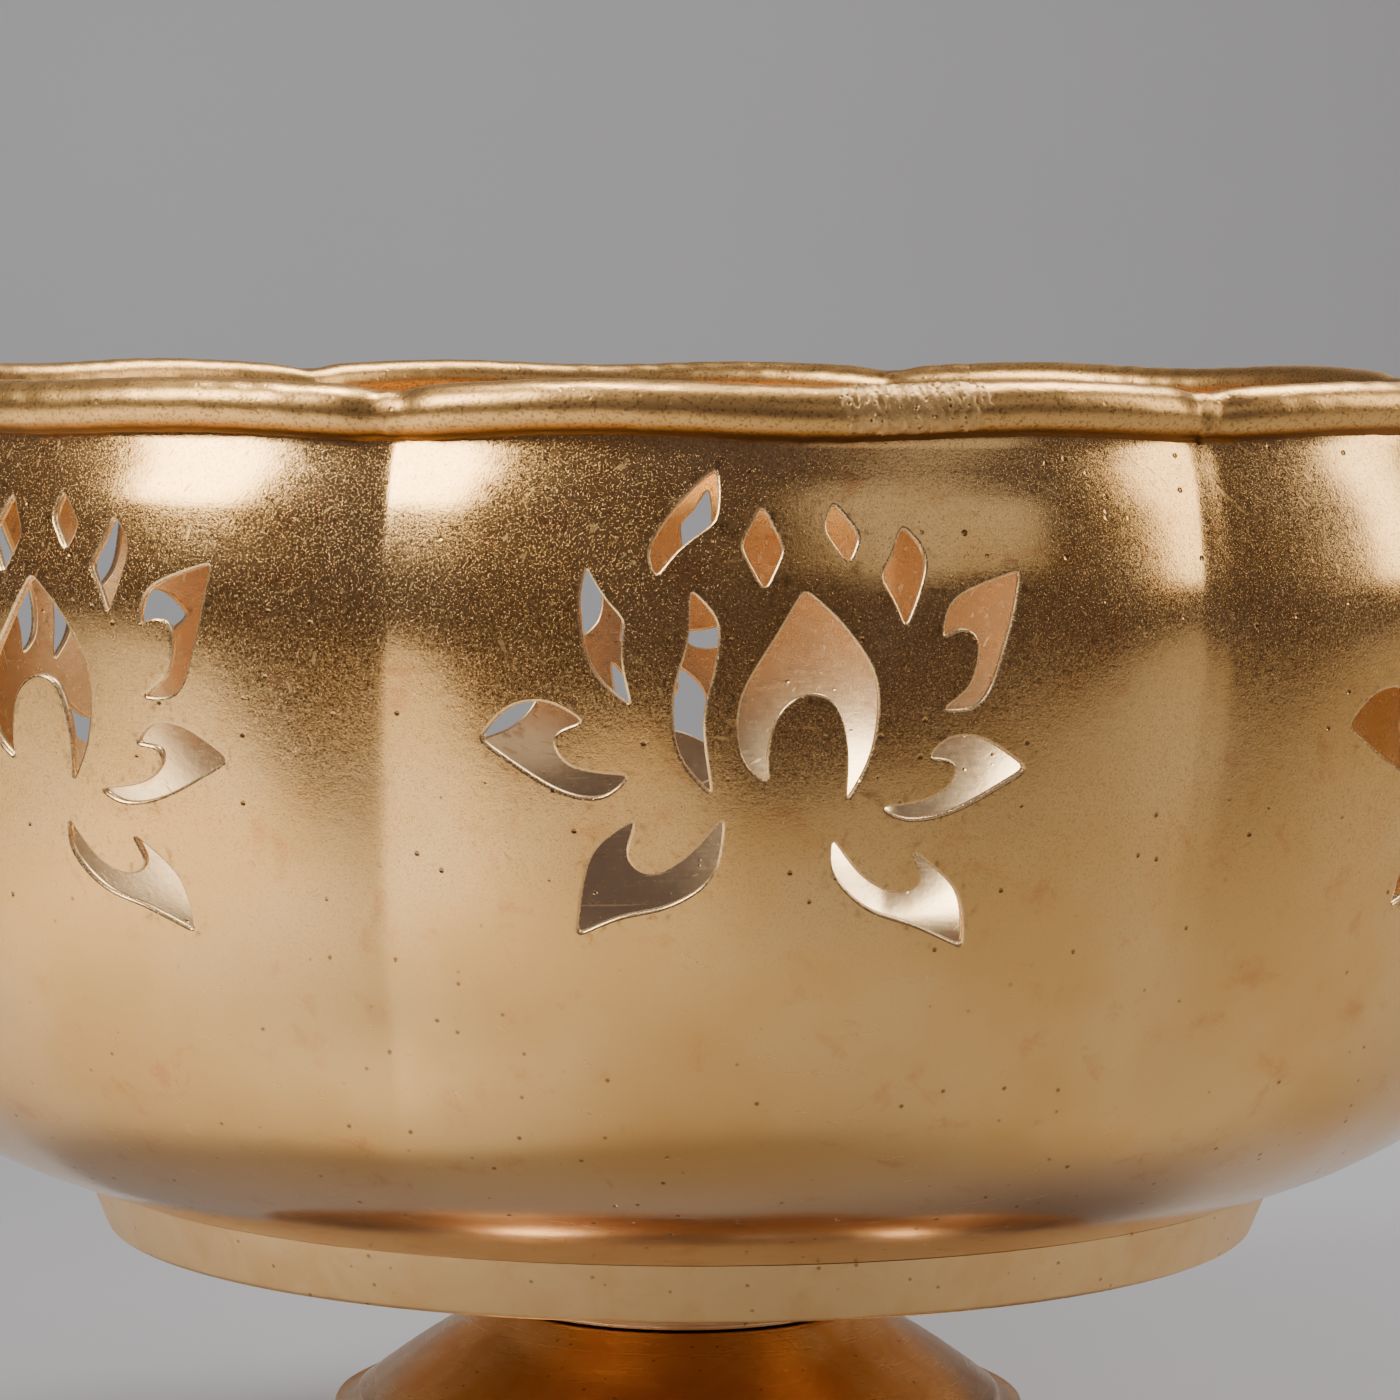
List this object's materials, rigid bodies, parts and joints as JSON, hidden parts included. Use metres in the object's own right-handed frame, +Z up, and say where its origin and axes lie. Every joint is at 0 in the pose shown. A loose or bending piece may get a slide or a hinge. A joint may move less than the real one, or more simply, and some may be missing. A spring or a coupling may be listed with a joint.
{
  "type": "pedestal urli bowl",
  "caption": "Fluted, lotus-pierced metal urli bowl with a rolled rim bead, resting in the hoop of a bolted pedestal stand.",
  "frame": {"origin": "on the table, under the bowl's axis", "axes": "+Z up along the bowl's axis; -Y out through the middle of the front lobe, the one next to the rim strip's joint"},
  "size_m": [0.2536, 0.2536, 0.16],
  "materials": {
    "bowl_brass": "satin gold, finely grained, with faint spun lines and small pits",
    "braze": "rough, pitted braze metal",
    "stand_brass": "satin gold, spun",
    "fastener_steel": "zinc plated"
  },
  "bodies": {
    "stand": {"seat_hoop": "stand_brass", "seat_plate": "stand_brass", "neck_spool": "stand_brass", "foot_bell": "stand_brass", "foot_ring": "stand_brass", "tie_bolt": "fastener_steel", "plate_washer": "fastener_steel", "foot_washer": "fastener_steel", "lock_washer": "fastener_steel", "tie_nut": "fastener_steel"},
    "bowl": {"bowl_shell": "bowl_brass", "rim_cover": "bowl_brass", "rim_braze": "braze"}
  },
  "joints": [
    {"name": "bowl_lift", "type": "slide", "parent": "stand", "child": "bowl", "axis": [0, 0, 1], "range_m": [0, 0.12]}
  ]
}
